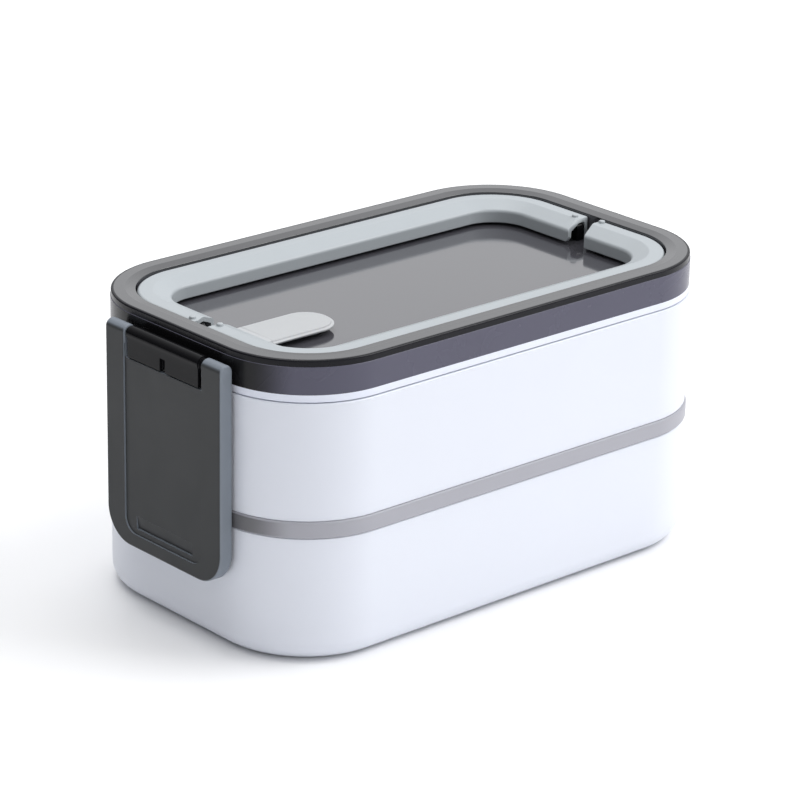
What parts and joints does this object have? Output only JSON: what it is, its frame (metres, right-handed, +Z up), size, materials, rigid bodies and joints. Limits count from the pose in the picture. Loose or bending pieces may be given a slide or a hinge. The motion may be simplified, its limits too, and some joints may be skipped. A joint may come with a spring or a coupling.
{
  "type": "two-tier bento lunch box",
  "caption": "Two-tier rectangular lunch box with rounded corners, a grey middle lid, a smoky top lid, folding handles, a vent flap and an end clip at each short side.",
  "frame": {"origin": "centre of the base, on the surface the box stands on", "axes": "+X along the length towards the right-hand clip, +Y across the width towards the back, +Z up"},
  "size_m": [0.2132, 0.1206, 0.106],
  "materials": {
    "white_plastic": "smooth satin moulding",
    "grey_plastic": "fine satin",
    "smoke_plastic": "polished translucent smoke",
    "handle_plastic": "satin moulding",
    "clip_plastic": "satin moulding",
    "silicone": "matt silicone",
    "steel": "drawn wire"
  },
  "bodies": {
    "lower_tray": {"lower_tray": "white_plastic"},
    "middle_lid": {"middle_lid": "grey_plastic", "middle_seal": "silicone"},
    "upper_tray": {"upper_tray": "white_plastic"},
    "lid": {"lid": "smoke_plastic", "lid_seal": "silicone", "handle_pin_back_left": "steel", "handle_pin_back_right": "steel", "handle_pin_front_left": "steel", "handle_pin_front_right": "steel", "left_clip_pin": "steel", "right_clip_pin": "steel", "vent_anchor": "silicone"},
    "back_handle": {"back_handle": "handle_plastic"},
    "front_handle": {"front_handle": "handle_plastic"},
    "left_clip": {"left_clip": "clip_plastic"},
    "right_clip": {"right_clip": "clip_plastic"},
    "vent_flap": {"vent_flap": "silicone", "vent_plug": "silicone"}
  },
  "joints": [
    {"name": "middle_lid_lift", "type": "slide", "parent": "lower_tray", "child": "middle_lid", "axis": [0, 0, 1], "range_m": [0, 0.08]},
    {"name": "upper_tray_lift", "type": "slide", "parent": "middle_lid", "child": "upper_tray", "axis": [0, 0, 1], "range_m": [0, 0.08]},
    {"name": "lid_lift", "type": "slide", "parent": "upper_tray", "child": "lid", "axis": [0, 0, 1], "range_m": [0, 0.08]},
    {"name": "back_handle_fold", "type": "hinge", "parent": "lid", "child": "back_handle", "pos_m": [0, 0.0052, 0.1008], "axis": [1, 0, 0], "range_deg": [0, 90]},
    {"name": "front_handle_fold", "type": "hinge", "parent": "lid", "child": "front_handle", "pos_m": [0, -0.0052, 0.1008], "axis": [-1, 0, 0], "range_deg": [0, 90]},
    {"name": "left_clip_hinge", "type": "hinge", "parent": "lid", "child": "left_clip", "pos_m": [-0.1039, 0, 0.0994], "axis": [0, 1, 0], "range_deg": [0, 110]},
    {"name": "right_clip_hinge", "type": "hinge", "parent": "lid", "child": "right_clip", "pos_m": [0.1039, 0, 0.0994], "axis": [0, -1, 0], "range_deg": [0, 110]},
    {"name": "vent_flap_hinge", "type": "hinge", "parent": "lid", "child": "vent_flap", "pos_m": [-0.0728, -0.0083, 0.0992], "axis": [0, -1, 0], "range_deg": [0, 90]}
  ]
}
